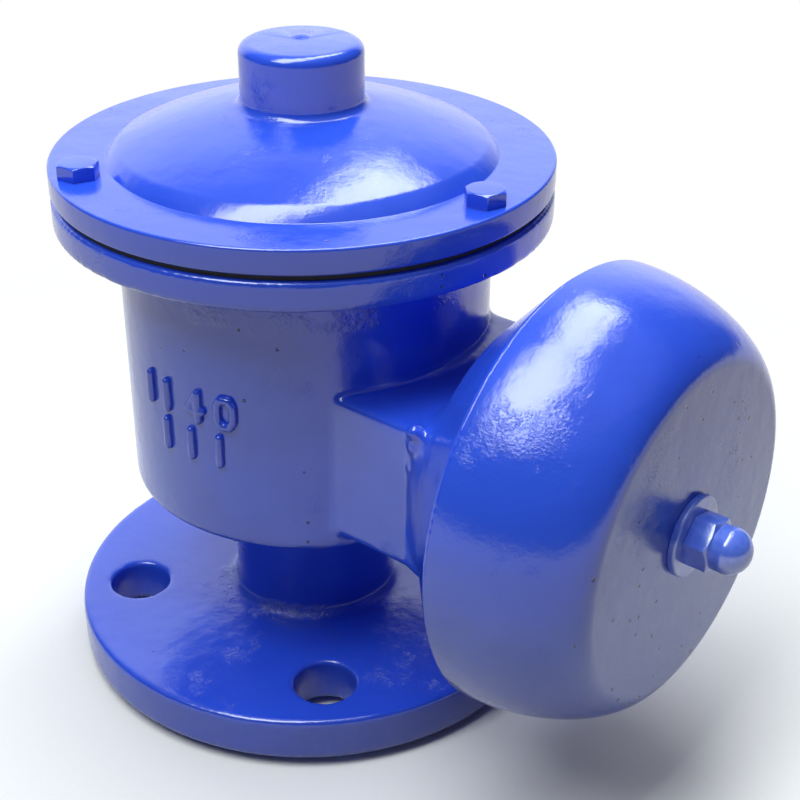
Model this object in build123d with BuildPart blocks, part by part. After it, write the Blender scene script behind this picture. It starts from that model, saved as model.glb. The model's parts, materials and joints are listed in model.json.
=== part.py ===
from build123d import *
from math import asin, atan2, cos, degrees, pi, sin, sqrt
import os

# Flame arrester breather valve for a small tank, in millimetres.
# The inlet flange stands on the XY plane with its bore along +Z.
# A square duct leaves the chamber along +X and flares into a round bowl,
# which holds the crimped flame element under a bell-shaped hood.

# Inlet flange
inlet_bore = 40.0
flange_diameter = 145.0
flange_rim = 13.5
flange_bolt_circle_diameter = 110.0
flange_hole = 18.0
flange_hole_count = 4
flange_hole_turn = 45
raised_face_diameter = 85.0
raised_face_height = 3.0
flange_edge = 1.2

# Neck and chamber
neck_wall = 4.0
neck_fillet = 4.0
chamber_underside = 59.8
chamber_diameter = 104.6
chamber_wall = 6.3
chamber_floor = 6.0
chamber_bottom_radius = 2.5
body_joint_height = 148.7
body_flange_diameter = 138.0
body_flange_thickness = 8.3
body_flange_edge = 0.8

# Inner pedestal and seat
pedestal_wall = 4.0
throat_diameter = 48.0
throat_start = 62.0
throat_clearance = 3.0
seat_height = 98.0
seat_flange_thickness = 4.0
seat_flange_width = 6.0
seat_spigot_wall = 3.0
seat_spigot_length = 6.0
seat_edge_chamfer = 0.6

# Duct, blend and bowl; the bowl's axis also carries the element, the stud and the hood
duct_axis = 86.6
duct_width = 69.0
duct_height = 43.0
duct_wall = 5.0
duct_end = 65.5
duct_edge_radius = 1.6
passage_clearance = 1.0
bowl_axis = 85.8
bowl_start = 72.8
bowl_start_diameter = 83.0
bowl_wall = 4.8
rim_plane = 91.0
rim_diameter = 122.0

# Flame element seat in the bowl
element_shoulder = 88.0
element_bore = 100.0
element_shoulder_width = 4.5
spigot_wall = 4.0
spigot_end = 97.5
bridge_thickness = 6.0
bridge_start = 76.0
hub_diameter = 18.0

# Cover
cover_gasket_thickness = 1.5
cover_gasket_recess = 1.5
cover_flange_thickness = 7.0
cover_edge = 0.8
dome_diameter = 107.2
dome_step = 3.2
dome_bevel = 2.6
dome_rise = 11.4
dome_wall = 6.0
register_clearance = 0.3
register_depth = 3.0
register_wall = 3.5
boss_diameter = 33.6
boss_rise = 15.5
boss_top_radius = 3.0
boss_root_fillet = 2.5
boss_roof = 4.3
inner_boss_length = 9.0

# Cover screws, M6
cover_screw = 6.0
cover_screw_hole = 6.6
cover_screw_flats = 10.0
cover_screw_head = 4.0
cover_screw_length = 16.0
cover_screw_circle_diameter = 123.0
cover_screw_count = 3

# Hood
hood_wall = 4.0
hood_depth = 36.2
hood_face_diameter = 87.6
hood_shoulder = 0.467
parting_gap = 0.6
parting_depth = 1.5
vent_half_width = 32.0
vent_end = 116.0
vent_roof = 44.0

# Centre stud and its nuts, M8
stud = 8.0
stud_hole = 9.0
nut_flats = 13.0
nut_thickness = 6.5
inner_washer_diameter = 16.0
inner_washer_thickness = 1.6
hood_washer_diameter = 22.0
hood_washer_thickness = 2.0
cap_nut_height = 15.0
cap_nut_dome = 12.5
cap_nut_depth = 11.0
stud_end_gap = 1.5

# Flame element
element_gasket = 1.0
grid_thickness = 2.0
grid_ring = 3.7
grid_spoke = 4.0
grid_spoke_pairs = 3
grid_mid_ring_diameter = 54.0
element_height = 12.0
casing_wall = 2.6
core_wall = 2.2
ribbon_band = 0.8
ribbon_layers = 4
cell_pitch = 9.5

# Pressure pallet
pallet_diameter = 66.0
pallet_thickness = 4.0
seal_thickness = 1.5
port_outer_diameter = 33.0
port_spoke = 4.0
port_count = 4
guide_tube_diameter = 21.0
guide_tube_wall = 2.0
pallet_spigot_height = 5.5
pressure_lift = 10.0
lift_stop_clearance = 0.3
pressure_seal_diameter = 61.0

# Guide bush
bush_wall = 2.4
bush_flange_diameter = 32.0
bush_flange_thickness = 2.0
bush_length = 22.0

# Weight ring and its M4 screws
weight_bore = 37.0
weight_diameter = 64.0
weight_height = 5.5
weight_screw = 4.0
weight_screw_head = 7.0
weight_screw_head_height = 2.6
weight_screw_circle_diameter = 50.0
weight_screw_count = 3
weight_screw_turn = 30
weight_screw_reach = 8.5

# Vacuum pallet
vacuum_diameter = 41.0
vacuum_thickness = 3.0
vacuum_hub_diameter = 12.0
vacuum_hub_height = 4.0
vacuum_drop = 8.0
stem = 6.0
stem_tail = 2.0
spring_wire = 0.6
spring_wire_sides = 4
spring_diameter = 10.4
spring_height = 18.0
spring_turns = 5.0
retainer_diameter = 15.0
retainer_thickness = 2.0
stem_nut_flats = 10.0
stem_nut_thickness = 5.0
lock_nut_thickness = 3.0

# Clearances between pieces
running_clearance = 0.1
seating_clearance = 0.05
thread_clearance = 0.05
casing_clearance = 0.3

# Radii and levels that follow from the sizes above
bore_radius = inlet_bore / 2
neck_radius = bore_radius + neck_wall
flange_radius = flange_diameter / 2
flange_hole_ring = flange_bolt_circle_diameter / 2
flange_top = raised_face_height + flange_rim
chamber_radius = chamber_diameter / 2
chamber_inside = chamber_radius - chamber_wall
floor_level = chamber_underside + chamber_floor
body_flange_radius = body_flange_diameter / 2
body_flange_underside = body_joint_height - body_flange_thickness
throat_radius = throat_diameter / 2
seat_radius = throat_radius + seat_flange_width
seat_spigot_radius = throat_radius + seat_spigot_wall
pedestal_radius = seat_spigot_radius + pedestal_wall
pedestal_top = seat_height - seat_flange_thickness
pedestal_counterbore = pedestal_top - seat_spigot_length

rim_radius = rim_diameter / 2
bowl_start_radius = bowl_start_diameter / 2
bowl_slope = (rim_radius - bowl_start_radius) / (rim_plane - bowl_start)
bowl_wall_radial = bowl_wall * sqrt(1 + bowl_slope**2)
element_radius = element_bore / 2
shoulder_radius = element_radius - element_shoulder_width
spigot_radius = element_radius + spigot_wall
bowl_inside_start = bowl_start_radius - bowl_wall_radial
bowl_inside_end = bowl_start + (shoulder_radius - bowl_inside_start) / bowl_slope
hub_radius = hub_diameter / 2
stud_radius = stud / 2

cover_underside = body_joint_height + cover_gasket_thickness
cover_top = cover_underside + cover_flange_thickness
dome_radius = dome_diameter / 2
dome_edge_radius = dome_radius - dome_bevel
dome_edge_level = cover_top + dome_step
dome_sphere = (dome_edge_radius**2 + dome_rise**2) / (2 * dome_rise)
dome_centre = dome_edge_level + dome_rise - dome_sphere
dome_inner_sphere = dome_sphere - dome_wall
register_radius = chamber_inside - register_clearance
register_inside = register_radius - register_wall
cover_screw_ring = cover_screw_circle_diameter / 2
boss_radius = boss_diameter / 2
boss_height = dome_edge_level + dome_rise + boss_rise
boss_root_level = dome_centre + sqrt(dome_sphere**2 - boss_radius**2)

guide_radius = guide_tube_diameter / 2
guide_inside = guide_radius - guide_tube_wall
bush_inside = guide_radius + running_clearance
bush_radius = bush_inside + bush_wall
boss_bore_top = boss_height - boss_roof
inner_dome_level = dome_centre + sqrt(dome_inner_sphere**2 - boss_radius**2)
inner_boss_level = inner_dome_level - inner_boss_length
pallet_underside = seat_height + seal_thickness
pallet_top = pallet_underside + pallet_thickness
guide_top = boss_bore_top - pressure_lift - lift_stop_clearance
port_outer_radius = port_outer_diameter / 2
weight_screw_ring = weight_screw_circle_diameter / 2
spring_seat = pallet_top + pallet_spigot_height
retainer_level = spring_seat + spring_height
stem_radius = stem / 2
stem_bore = stem_radius + running_clearance
vacuum_radius = vacuum_diameter / 2
vacuum_underside = seat_height - vacuum_thickness
vacuum_hub_level = vacuum_underside - vacuum_hub_height
throat_full = vacuum_hub_level - vacuum_drop - throat_clearance
stem_nut_level = retainer_level + retainer_thickness
lock_nut_level = stem_nut_level + stem_nut_thickness
stem_top = lock_nut_level + lock_nut_thickness + stem_tail

rear_grid_plane = element_shoulder + element_gasket
element_plane = rear_grid_plane + grid_thickness
front_grid_plane = element_plane + element_height
inner_washer_plane = front_grid_plane + grid_thickness
inner_nut_plane = inner_washer_plane + inner_washer_thickness
casing_radius = element_radius - casing_clearance
casing_inside = casing_radius - casing_wall
core_inside = stud_radius + casing_clearance
core_radius = core_inside + core_wall
hood_start = rim_plane + parting_gap
hood_face = hood_start + hood_depth
hood_face_radius = hood_face_diameter / 2
hood_inner_face = hood_face - hood_wall
cap_nut_plane = hood_face + hood_washer_thickness
stud_start = bridge_start + stud_end_gap
stud_end = cap_nut_plane + cap_nut_depth - stud_end_gap

# Working planes
duct_plane = Plane(origin=(0, 0, duct_axis), x_dir=(0, 1, 0), z_dir=(1, 0, 0))
bowl_plane = Plane(origin=(0, 0, bowl_axis), x_dir=(0, 1, 0), z_dir=(1, 0, 0))
bowl_section = Plane(origin=(0, 0, bowl_axis), x_dir=(1, 0, 0), z_dir=(0, -1, 0))
bowl_line = Axis((0, 0, bowl_axis), (1, 0, 0))


def square_to_round(corner_width, corner_height, circle_radius):
    """Draw a circle as four arcs whose ends face the corners of a rectangle."""
    corner = degrees(atan2(corner_height, corner_width))
    with BuildLine() as outline:
        for start, span in (
            (-corner, 2 * corner),
            (corner, 180 - 2 * corner),
            (180 - corner, 2 * corner),
            (180 + corner, 180 - 2 * corner),
        ):
            CenterArc((0, 0), circle_radius, start, span)
    return outline.line


def round_corner(sketch, x, y, radius):
    """Round the sketch corner nearest to the given point."""
    fillet(sketch.vertices().sort_by_distance((x, y))[0], radius)


def cut_corner(sketch, x, y, width):
    """Chamfer the sketch corner nearest to the given point."""
    chamfer(sketch.vertices().sort_by_distance((x, y))[0], width)


# Body casting: flange, neck, chamber, pedestal, duct and bowl in one piece
with BuildPart() as body_casting:
    with BuildSketch(Plane.XZ) as shell_section:
        with BuildLine():
            Polyline(
                (0, 0),
                (raised_face_diameter / 2, 0),
                (raised_face_diameter / 2, raised_face_height),
                (flange_radius, raised_face_height),
                (flange_radius, flange_top),
                (neck_radius, flange_top),
                (neck_radius, chamber_underside),
                (chamber_radius, chamber_underside),
                (chamber_radius, body_flange_underside),
                (body_flange_radius, body_flange_underside),
                (body_flange_radius, body_joint_height),
                (0, body_joint_height),
                close=True,
            )
        make_face()
        cut_corner(shell_section, flange_radius, raised_face_height, flange_edge)
        cut_corner(shell_section, flange_radius, flange_top, flange_edge)
        round_corner(shell_section, neck_radius, flange_top, neck_fillet)
        round_corner(shell_section, neck_radius, chamber_underside, neck_fillet)
        round_corner(shell_section, chamber_radius, chamber_underside, chamber_bottom_radius)
        cut_corner(shell_section, body_flange_radius, body_flange_underside, body_flange_edge)
        cut_corner(shell_section, body_flange_radius, body_joint_height, body_flange_edge)
    revolve(axis=Axis.Z)
    with BuildSketch(duct_plane):
        RectangleRounded(duct_width, duct_height, duct_edge_radius)
    extrude(amount=duct_end)
    with BuildSketch(duct_plane.offset(duct_end)):
        Rectangle(duct_width, duct_height)
    with BuildSketch(bowl_plane.offset(bowl_start)):
        add(square_to_round(duct_width, duct_height, bowl_start_radius))
        make_face()
    loft(ruled=True)
    with BuildSketch(bowl_section):
        with BuildLine():
            Polyline(
                (bowl_start, 0),
                (bowl_start, bowl_start_radius),
                (rim_plane, rim_radius),
                (rim_plane, rim_radius - parting_depth),
                (hood_start, rim_radius - parting_depth),
                (hood_start, spigot_radius),
                (spigot_end, spigot_radius),
                (spigot_end, 0),
                close=True,
            )
        make_face()
    revolve(axis=bowl_line)

    # The chamber and the throat, around the pedestal that carries the seat
    with BuildSketch(Plane.XZ):
        with BuildLine():
            Polyline(
                (0, 0),
                (bore_radius, 0),
                (bore_radius, throat_start),
                (throat_radius, throat_full),
                (throat_radius, pedestal_counterbore),
                (seat_spigot_radius, pedestal_counterbore),
                (seat_spigot_radius, pedestal_top),
                (pedestal_radius, pedestal_top),
                (pedestal_radius, floor_level),
                (chamber_inside, floor_level),
                (chamber_inside, body_joint_height),
                (0, body_joint_height),
                close=True,
            )
        make_face()
    revolve(axis=Axis.Z, mode=Mode.SUBTRACT)

    # The square passage, its blend and the bowl inside
    passage_start = pedestal_radius + passage_clearance
    passage_width = duct_width - 2 * duct_wall
    passage_height = duct_height - 2 * duct_wall
    with BuildSketch(duct_plane.offset(passage_start)):
        Rectangle(passage_width, passage_height)
    extrude(amount=duct_end - passage_start, mode=Mode.SUBTRACT)
    with BuildSketch(duct_plane.offset(duct_end)):
        Rectangle(passage_width, passage_height)
    with BuildSketch(bowl_plane.offset(bowl_start)):
        add(square_to_round(passage_width, passage_height, bowl_inside_start))
        make_face()
    loft(ruled=True, mode=Mode.SUBTRACT)
    with BuildSketch(bowl_section):
        with BuildLine():
            Polyline(
                (bowl_start, 0),
                (bowl_start, bowl_inside_start),
                (bowl_inside_end, shoulder_radius),
                (element_shoulder, shoulder_radius),
                (element_shoulder, element_radius),
                (spigot_end, element_radius),
                (spigot_end, 0),
                close=True,
            )
        make_face()
    revolve(axis=bowl_line, mode=Mode.SUBTRACT)

    # The bridge across the bowl that the centre stud screws into
    bridge_near = bowl_inside_start + (bridge_start - bowl_start) * bowl_slope + bowl_wall / 2
    bridge_far = bridge_near + (element_shoulder - bridge_start) * bowl_slope
    with BuildSketch(Plane.XY.offset(bowl_axis)):
        with BuildLine():
            Polyline(
                (bridge_start, -bridge_near),
                (element_shoulder, -bridge_far),
                (element_shoulder, bridge_far),
                (bridge_start, bridge_near),
                close=True,
            )
        make_face()
    extrude(amount=bridge_thickness / 2, both=True)
    with BuildSketch(bowl_plane.offset(bridge_start)):
        Circle(hub_radius)
    extrude(amount=element_shoulder - bridge_start)
    with BuildSketch(bowl_plane.offset(bridge_start)):
        Circle(stud_radius + thread_clearance)
    extrude(amount=element_shoulder - bridge_start, mode=Mode.SUBTRACT)

    # Bolt holes of the inlet flange and tapped holes of the top flange
    with BuildSketch(Plane.XY.offset(raised_face_height)):
        with PolarLocations(flange_hole_ring, flange_hole_count, start_angle=flange_hole_turn):
            Circle(flange_hole / 2)
    extrude(amount=flange_rim, mode=Mode.SUBTRACT)
    with BuildSketch(Plane.XY.offset(body_flange_underside)):
        with PolarLocations(cover_screw_ring, cover_screw_count):
            Circle(cover_screw / 2 + thread_clearance)
    extrude(amount=body_flange_thickness, mode=Mode.SUBTRACT)


# Seat ring, stepped to sit in the pedestal
with BuildPart() as seat_ring:
    with BuildSketch(Plane.XZ) as seat_section:
        with BuildLine():
            Polyline(
                (throat_radius, pedestal_counterbore),
                (seat_spigot_radius - seating_clearance, pedestal_counterbore),
                (seat_spigot_radius - seating_clearance, pedestal_top),
                (seat_radius, pedestal_top),
                (seat_radius, seat_height),
                (throat_radius, seat_height),
                close=True,
            )
        make_face()
        cut_corner(seat_section, seat_radius, seat_height, seat_edge_chamfer)
    revolve(axis=Axis.Z)


# Cover gasket, set back from the flange edges so that the joint shows as a dark line
with BuildPart() as cover_gasket:
    with BuildSketch(Plane.XY.offset(body_joint_height)):
        Circle(body_flange_radius - cover_gasket_recess)
        Circle(chamber_inside + register_clearance, mode=Mode.SUBTRACT)
        with PolarLocations(cover_screw_ring, cover_screw_count):
            Circle(cover_screw_hole / 2, mode=Mode.SUBTRACT)
    extrude(amount=cover_gasket_thickness)


# Cover: flange, bevelled step, shallow dome and the boss that guides the pallet
with BuildPart() as cover:
    with BuildSketch(Plane.XZ) as cover_section:
        with BuildLine():
            dome_mid_radius = (dome_edge_radius + boss_radius) / 2
            dome_mid_level = dome_centre + sqrt(dome_sphere**2 - dome_mid_radius**2)
            Polyline(
                (boss_radius, boss_root_level),
                (boss_radius, boss_height),
                (0, boss_height),
                (0, cover_underside),
                (body_flange_radius, cover_underside),
                (body_flange_radius, cover_top),
                (dome_radius, cover_top),
                (dome_edge_radius, dome_edge_level),
            )
            ThreePointArc(
                (dome_edge_radius, dome_edge_level),
                (dome_mid_radius, dome_mid_level),
                (boss_radius, boss_root_level),
            )
        make_face()
        round_corner(cover_section, boss_radius, boss_root_level, boss_root_fillet)
        round_corner(cover_section, boss_radius, boss_height, boss_top_radius)
        cut_corner(cover_section, body_flange_radius, cover_underside, cover_edge)
        cut_corner(cover_section, body_flange_radius, cover_top, cover_edge)
    revolve(axis=Axis.Z)
    with BuildSketch(Plane.XZ):
        with BuildLine():
            inner_edge_level = dome_centre + sqrt(dome_inner_sphere**2 - register_inside**2)
            inner_mid_radius = (register_inside + boss_radius) / 2
            inner_mid_level = dome_centre + sqrt(dome_inner_sphere**2 - inner_mid_radius**2)
            Polyline(
                (boss_radius, inner_dome_level),
                (boss_radius, cover_underside),
                (register_inside, cover_underside),
                (register_inside, inner_edge_level),
            )
            ThreePointArc(
                (register_inside, inner_edge_level),
                (inner_mid_radius, inner_mid_level),
                (boss_radius, inner_dome_level),
            )
        make_face()
    revolve(axis=Axis.Z, mode=Mode.SUBTRACT)
    with BuildSketch(Plane.XY.offset(cover_underside)):
        Circle(boss_radius)
    extrude(amount=inner_boss_level - cover_underside, mode=Mode.SUBTRACT)
    with BuildSketch(Plane.XY.offset(inner_boss_level)):
        Circle(bush_radius + seating_clearance)
    extrude(amount=boss_bore_top - inner_boss_level, mode=Mode.SUBTRACT)
    with BuildSketch(Plane.XY.offset(cover_underside)):
        Circle(register_radius)
        Circle(register_inside, mode=Mode.SUBTRACT)
    extrude(amount=-register_depth)
    with BuildSketch(Plane.XY.offset(cover_underside)):
        with PolarLocations(cover_screw_ring, cover_screw_count):
            Circle(cover_screw_hole / 2)
    extrude(amount=cover_flange_thickness, mode=Mode.SUBTRACT)


# Three hexagon screws that hold the cover
with BuildPart() as cover_screws:
    with BuildSketch(Plane.XY.offset(cover_top)):
        with PolarLocations(cover_screw_ring, cover_screw_count):
            RegularPolygon(cover_screw_flats / 2, 6, major_radius=False)
    extrude(amount=cover_screw_head)
    with BuildSketch(Plane.XY.offset(cover_top)):
        with PolarLocations(cover_screw_ring, cover_screw_count):
            Circle(cover_screw / 2)
    extrude(amount=-cover_screw_length)


# Guide bush pressed into the boss
with BuildPart() as guide_bush:
    with BuildSketch(Plane.XY.offset(inner_boss_level)):
        Circle(bush_radius)
        Circle(bush_inside, mode=Mode.SUBTRACT)
    extrude(amount=bush_length)
    with BuildSketch(Plane.XY.offset(inner_boss_level)):
        Circle(bush_flange_diameter / 2)
        Circle(bush_inside, mode=Mode.SUBTRACT)
    extrude(amount=-bush_flange_thickness)


# Pressure pallet: a plate with four ports and a threaded spigot for the guide tube
with BuildPart() as pressure_pallet:
    with BuildSketch(Plane.XY.offset(pallet_underside)):
        Circle(pallet_diameter / 2)
        Circle(port_outer_radius, mode=Mode.SUBTRACT)
        with PolarLocations(0, port_count // 2, angular_range=180):
            Rectangle(2 * port_outer_radius + port_spoke, port_spoke)
        Circle(guide_radius)
        Circle(stem_bore, mode=Mode.SUBTRACT)
        with PolarLocations(weight_screw_ring, weight_screw_count, start_angle=weight_screw_turn):
            Circle(weight_screw / 2 + thread_clearance, mode=Mode.SUBTRACT)
    extrude(amount=pallet_thickness)
    with BuildSketch(Plane.XY.offset(pallet_top)):
        Circle(guide_inside - thread_clearance)
        Circle(stem_bore, mode=Mode.SUBTRACT)
    extrude(amount=pallet_spigot_height)


# Guide tube that slides in the bush and covers the vacuum spring
with BuildPart() as guide_tube:
    with BuildSketch(Plane.XY.offset(pallet_top)):
        Circle(guide_radius)
        Circle(guide_inside, mode=Mode.SUBTRACT)
    extrude(amount=guide_top - pallet_top)


# Soft ring under the pressure pallet
with BuildPart() as pressure_seal:
    with BuildSketch(Plane.XY.offset(seat_height)):
        Circle(pressure_seal_diameter / 2)
        Circle(throat_radius, mode=Mode.SUBTRACT)
    extrude(amount=seal_thickness)


# Weight ring that sets the opening pressure
with BuildPart() as weight_ring:
    with BuildSketch(Plane.XY.offset(pallet_top)):
        Circle(weight_diameter / 2)
        Circle(weight_bore / 2, mode=Mode.SUBTRACT)
        with PolarLocations(weight_screw_ring, weight_screw_count, start_angle=weight_screw_turn):
            Circle(weight_screw / 2 + thread_clearance, mode=Mode.SUBTRACT)
    extrude(amount=weight_height)


# Screws of the weight ring
with BuildPart() as weight_screws:
    with BuildSketch(Plane.XY.offset(pallet_top + weight_height)):
        with PolarLocations(weight_screw_ring, weight_screw_count, start_angle=weight_screw_turn):
            Circle(weight_screw_head / 2)
    extrude(amount=weight_screw_head_height)
    with BuildSketch(Plane.XY.offset(pallet_top + weight_height)):
        with PolarLocations(weight_screw_ring, weight_screw_count, start_angle=weight_screw_turn):
            Circle(weight_screw / 2)
    extrude(amount=-weight_screw_reach)


# Vacuum pallet, which hangs under the ports of the pressure pallet
with BuildPart() as vacuum_pallet:
    with BuildSketch(Plane.XY.offset(vacuum_underside)):
        Circle(vacuum_radius)
        Circle(stem_radius + thread_clearance, mode=Mode.SUBTRACT)
    extrude(amount=vacuum_thickness)
    with BuildSketch(Plane.XY.offset(vacuum_underside)):
        Circle(vacuum_hub_diameter / 2)
        Circle(stem_radius + thread_clearance, mode=Mode.SUBTRACT)
    extrude(amount=-vacuum_hub_height)


# Soft ring on the vacuum pallet
with BuildPart() as vacuum_seal:
    with BuildSketch(Plane.XY.offset(seat_height)):
        Circle(vacuum_radius)
        Circle(port_outer_radius, mode=Mode.SUBTRACT)
    extrude(amount=seal_thickness)


# Vacuum stem, through the spigot and the spring to its nuts
with BuildPart() as vacuum_stem:
    with BuildSketch(Plane.XY.offset(vacuum_hub_level)):
        Circle(stem_radius)
    extrude(amount=stem_top - vacuum_hub_level)


# Light spring that holds the vacuum pallet shut
with BuildPart() as vacuum_spring:
    with BuildLine() as spring_path:
        Helix(
            pitch=(spring_height - spring_wire) / spring_turns,
            height=spring_height - spring_wire,
            radius=spring_diameter / 2,
            center=(0, 0, spring_seat + spring_wire / 2),
        )
    with BuildSketch(Plane(origin=spring_path.line @ 0, z_dir=spring_path.line % 0)):
        RegularPolygon(spring_wire / 2, spring_wire_sides)
    sweep(path=spring_path.line, is_frenet=True)


# Spring retainer
with BuildPart() as spring_retainer:
    with BuildSketch(Plane.XY.offset(retainer_level)):
        Circle(retainer_diameter / 2)
        Circle(stem_radius + thread_clearance, mode=Mode.SUBTRACT)
    extrude(amount=retainer_thickness)


# Adjusting nut and lock nut of the stem
with BuildPart() as stem_nuts:
    with BuildSketch(Plane.XY.offset(stem_nut_level)):
        RegularPolygon(stem_nut_flats / 2, 6, major_radius=False)
        Circle(stem_radius + thread_clearance, mode=Mode.SUBTRACT)
    extrude(amount=stem_nut_thickness - seating_clearance)
    with BuildSketch(Plane.XY.offset(lock_nut_level)):
        RegularPolygon(stem_nut_flats / 2, 6, major_radius=False)
        Circle(stem_radius + thread_clearance, mode=Mode.SUBTRACT)
    extrude(amount=lock_nut_thickness)


# Gasket behind the flame element
with BuildPart() as element_gasket_ring:
    with BuildSketch(bowl_plane.offset(element_shoulder)):
        Circle(casing_radius)
        Circle(shoulder_radius, mode=Mode.SUBTRACT)
    extrude(amount=element_gasket)


def grid_sketch():
    """Draw a round grid: rim, middle ring, spokes and a hub for the stud."""
    Circle(casing_radius)
    Circle(casing_radius - grid_ring, mode=Mode.SUBTRACT)
    Circle(grid_mid_ring_diameter / 2)
    Circle(grid_mid_ring_diameter / 2 - grid_spoke, mode=Mode.SUBTRACT)
    with PolarLocations(0, grid_spoke_pairs, angular_range=180):
        Rectangle(2 * casing_radius - grid_ring, grid_spoke)
    Circle(hub_radius)
    Circle(stud_hole / 2, mode=Mode.SUBTRACT)


# Grids on both faces of the flame element
with BuildPart() as rear_grid:
    with BuildSketch(bowl_plane.offset(rear_grid_plane)):
        grid_sketch()
    extrude(amount=grid_thickness)

with BuildPart() as front_grid:
    with BuildSketch(bowl_plane.offset(front_grid_plane)):
        grid_sketch()
    extrude(amount=grid_thickness)


# Casing ring round the crimped ribbon
with BuildPart() as element_casing:
    with BuildSketch(bowl_plane.offset(element_plane)):
        Circle(casing_radius)
        Circle(casing_inside, mode=Mode.SUBTRACT)
    extrude(amount=element_height)


# Core tube that the ribbon is wound on
with BuildPart() as element_core:
    with BuildSketch(bowl_plane.offset(element_plane)):
        Circle(core_radius)
        Circle(core_inside, mode=Mode.SUBTRACT)
    extrude(amount=element_height)


# Crimped ribbon: flat bands with a row of triangular cells between each pair
with BuildPart() as flame_element:
    ribbon_inside = core_radius + seating_clearance
    ribbon_outside = casing_inside - seating_clearance
    layer = (ribbon_outside - ribbon_inside - ribbon_band) / ribbon_layers
    with BuildSketch(bowl_plane.offset(element_plane)):
        Circle(ribbon_outside)
        Circle(ribbon_inside, mode=Mode.SUBTRACT)
        for row in range(ribbon_layers):
            inner = ribbon_inside + row * layer + ribbon_band
            outer = inner + layer - ribbon_band
            cells = round(pi * (inner + outer) / cell_pitch)
            half = pi / cells
            gap = asin(ribbon_band / (inner + outer))
            for tip, base in ((outer, inner), (inner, outer)):
                start = 0 if tip == outer else degrees(half)
                with PolarLocations(0, cells, start_angle=start):
                    with BuildLine():
                        Polyline(
                            (tip, 0),
                            (base * cos(half - 2 * gap), base * sin(half - 2 * gap)),
                            (base * cos(half - 2 * gap), -base * sin(half - 2 * gap)),
                            close=True,
                        )
                    make_face(mode=Mode.SUBTRACT)
    extrude(amount=element_height)


# Centre stud
with BuildPart() as centre_stud:
    with BuildSketch(bowl_plane.offset(stud_start)):
        Circle(stud_radius)
    extrude(amount=stud_end - stud_start)


# Washer and nut that clamp the element
with BuildPart() as element_washer:
    with BuildSketch(bowl_plane.offset(inner_washer_plane)):
        Circle(inner_washer_diameter / 2)
        Circle(stud_radius + thread_clearance, mode=Mode.SUBTRACT)
    extrude(amount=inner_washer_thickness)

with BuildPart() as element_nut:
    with BuildSketch(bowl_plane.offset(inner_nut_plane)):
        RegularPolygon(nut_flats / 2, 6, major_radius=False)
        Circle(stud_radius + thread_clearance, mode=Mode.SUBTRACT)
    extrude(amount=nut_thickness)


# Hood: a turned bell with a full round shoulder, a flat face and a vent mouth below
with BuildPart() as hood:
    with BuildSketch(bowl_section):
        with BuildLine():
            shoulder_reach = hood_shoulder * hood_depth
            shoulder_drop = hood_shoulder * (rim_radius - hood_face_radius)
            inner_reach = hood_shoulder * (hood_depth - hood_wall)
            Bezier(
                (hood_start, rim_radius),
                (hood_start + shoulder_reach, rim_radius),
                (hood_face, hood_face_radius + shoulder_drop),
                (hood_face, hood_face_radius),
            )
            Polyline(
                (hood_face, hood_face_radius),
                (hood_face, 0),
                (hood_inner_face, 0),
                (hood_inner_face, hood_face_radius - hood_wall / 2),
            )
            Bezier(
                (hood_inner_face, hood_face_radius - hood_wall / 2),
                (hood_inner_face, hood_face_radius - hood_wall / 2 + shoulder_drop),
                (hood_start + inner_reach, rim_radius - hood_wall),
                (hood_start, rim_radius - hood_wall),
            )
            Line((hood_start, rim_radius - hood_wall), (hood_start, rim_radius))
        make_face()
    revolve(axis=bowl_line)
    with BuildSketch(bowl_plane.offset(hood_start)):
        with Locations((0, -(vent_roof + rim_radius) / 2)):
            Rectangle(2 * vent_half_width, rim_radius - vent_roof)
    extrude(amount=vent_end - hood_start, mode=Mode.SUBTRACT)
    with BuildSketch(bowl_plane.offset(hood_inner_face)):
        Circle(stud_hole / 2)
    extrude(amount=hood_wall, mode=Mode.SUBTRACT)


# Washer and cap nut on the face of the hood
with BuildPart() as hood_washer:
    with BuildSketch(bowl_plane.offset(hood_face)):
        Circle(hood_washer_diameter / 2)
        Circle(stud_radius + thread_clearance, mode=Mode.SUBTRACT)
    extrude(amount=hood_washer_thickness)

with BuildPart() as cap_nut:
    dome_ball = cap_nut_dome / 2
    dome_start = cap_nut_plane + cap_nut_height - dome_ball
    with BuildSketch(bowl_plane.offset(cap_nut_plane)):
        RegularPolygon(nut_flats / 2, 6, major_radius=False)
    extrude(amount=nut_thickness)
    with BuildSketch(bowl_section):
        with BuildLine():
            Polyline(
                (cap_nut_plane + cap_nut_height, 0),
                (cap_nut_plane, 0),
                (cap_nut_plane, dome_ball),
                (dome_start, dome_ball),
            )
            RadiusArc((dome_start, dome_ball), (cap_nut_plane + cap_nut_height, 0), dome_ball)
        make_face()
    revolve(axis=bowl_line)
    with BuildSketch(bowl_plane.offset(cap_nut_plane)):
        Circle(stud_radius + thread_clearance)
    extrude(amount=cap_nut_depth, mode=Mode.SUBTRACT)


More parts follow.
